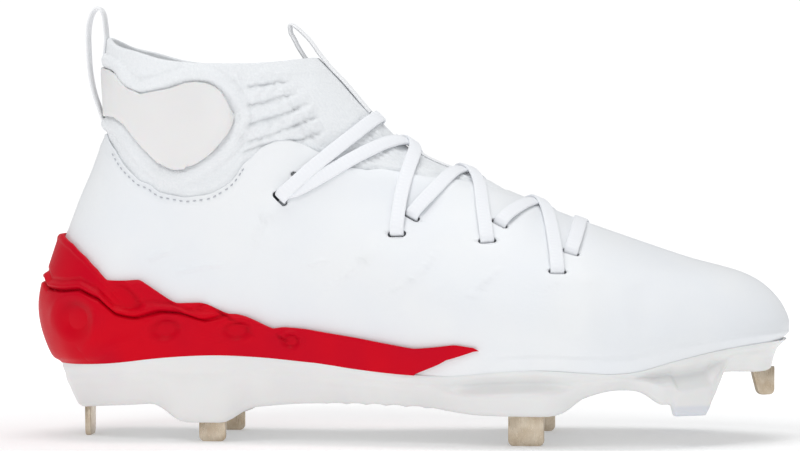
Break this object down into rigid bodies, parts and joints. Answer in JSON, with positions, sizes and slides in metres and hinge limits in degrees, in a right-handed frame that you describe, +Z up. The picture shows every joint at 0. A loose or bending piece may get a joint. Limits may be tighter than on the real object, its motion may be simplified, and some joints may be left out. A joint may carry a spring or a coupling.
{
  "type": "baseball cleat",
  "caption": "Right mid-top baseball cleat with a hollow coated shell over a knit sock collar, flat laces, red heel counter and a moulded plate on metal spikes.",
  "frame": {"origin": "bottom centre of the shoe's box, on the ground under the spikes", "axes": "+X to the toe, +Y to the inner side of the foot, +Z up"},
  "size_m": [0.302, 0.1062, 0.1731],
  "materials": {
    "shell": "cool white coated knit, soft satin",
    "knit": "white ribbed knit, matt",
    "insole": "pale grey cloth, matt",
    "plate": "warm pale grey moulded nylon, satin gloss",
    "counter": "bright red moulded wrap, satin",
    "strap": "frosted off-white strap, soft satin",
    "lace": "white flat woven lace",
    "webbing": "white woven webbing",
    "spike": "warm nickel, lightly brushed"
  },
  "bodies": {
    "root": {"upper": "shell", "sock_tongue": "knit", "insole": "insole", "sole": "plate", "heel_counter": "counter", "ankle_strap": "strap", "lace_top_cross": "lace", "lace_middle_cross": "lace", "lace_lower_cross": "lace", "lace_toe_bar": "lace", "heel_pull_loop": "webbing", "front_pull_loop": "webbing", "spike_heel_back": "spike", "spike_heel_outer": "spike", "spike_heel_inner": "spike", "spike_ball_outer": "spike", "spike_ball_inner": "spike", "spike_toe": "spike"}
  },
  "joints": []
}
